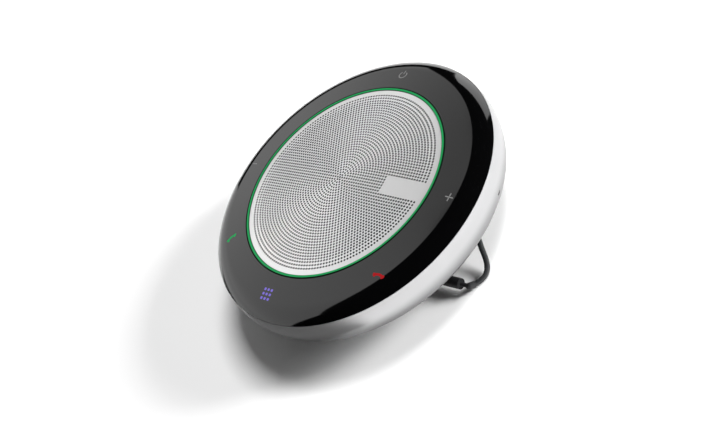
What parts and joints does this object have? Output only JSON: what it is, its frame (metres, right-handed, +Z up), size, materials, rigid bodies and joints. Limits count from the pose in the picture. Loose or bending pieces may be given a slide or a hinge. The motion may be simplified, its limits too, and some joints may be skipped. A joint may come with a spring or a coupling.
{
  "type": "conference speakerphone",
  "caption": "Round table speakerphone: perforated speaker grille in a light ring, touch panel, metal rim, cord wound under the rim and its plug stowed in the base.",
  "frame": {"origin": "on the table under the centre of the round device", "axes": "+Z up through the grille; +Y towards the power key; the plug's slot opens towards +X"},
  "size_m": [0.1252, 0.1252, 0.0353],
  "materials": {
    "band_metal": "satin silver anodised",
    "black_cloth": "fine woven acoustic mesh",
    "black_plastic": "fine textured black",
    "black_screw": "black oxide",
    "cell_wrap": "foil pouch wrap",
    "chip_epoxy": "moulded epoxy",
    "circuit_board": "solder mask green",
    "coil_copper": "enamelled copper",
    "cord_jacket": "matt black jacket",
    "dark_steel": "zinc plated",
    "foam": "open cell foam",
    "gloss_panel": "piano black gloss, lightly satin on top",
    "grille_metal": "fine perforated sheet, satin silver",
    "light_guide": "translucent green light guide",
    "magnet_ferrite": "sintered ferrite",
    "paper_cone": "pressed pulp",
    "plug_metal": "nickel plated",
    "soft_rubber": "soft black",
    "tin_plate": "tinned steel",
    "white_plastic": "diffusing white"
  },
  "bodies": {
    "device": {"acoustic_cloth": "black_cloth", "base_cover": "black_plastic", "base_screws": "black_screw", "battery_cell": "cell_wrap", "battery_pad": "foam", "board_chips": "chip_epoxy", "board_screws": "dark_steel", "board_sockets": "white_plastic", "bottom_housing": "black_plastic", "chassis_screws": "black_screw", "cord_gland": "soft_rubber", "cord_tube": "cord_jacket", "cord_winding": "cord_jacket", "foot_ring": "soft_rubber", "inner_chassis": "black_plastic", "led_board": "circuit_board", "light_ring": "light_guide", "main_board": "circuit_board", "microphone": "tin_plate", "microphone_boot": "soft_rubber", "plug_body": "black_plastic", "plug_elbow": "soft_rubber", "plug_shell": "plug_metal", "plug_tongue": "white_plastic", "radio_module": "tin_plate", "rim_band": "band_metal", "ring_leds": "white_plastic", "ring_magnet": "magnet_ferrite", "shield_can": "tin_plate", "speaker_frame": "dark_steel", "speaker_gasket": "foam", "speaker_grille": "grille_metal", "speaker_screws": "black_screw", "spider": "black_cloth", "surround": "soft_rubber", "top_plate": "dark_steel", "touch_panel": "gloss_panel", "touch_sensor_film": "chip_epoxy", "yoke": "dark_steel"},
    "speaker_cone": {"cone": "paper_cone", "dust_cap": "paper_cone", "voice_coil": "coil_copper"}
  },
  "joints": [
    {"name": "cone_travel", "type": "slide", "parent": "device", "child": "speaker_cone", "axis": [0, 0, 1], "range_m": [-0.0012, 0.0012], "stiffness_N_per_m": 900, "deforming": ["surround", "spider"]}
  ]
}
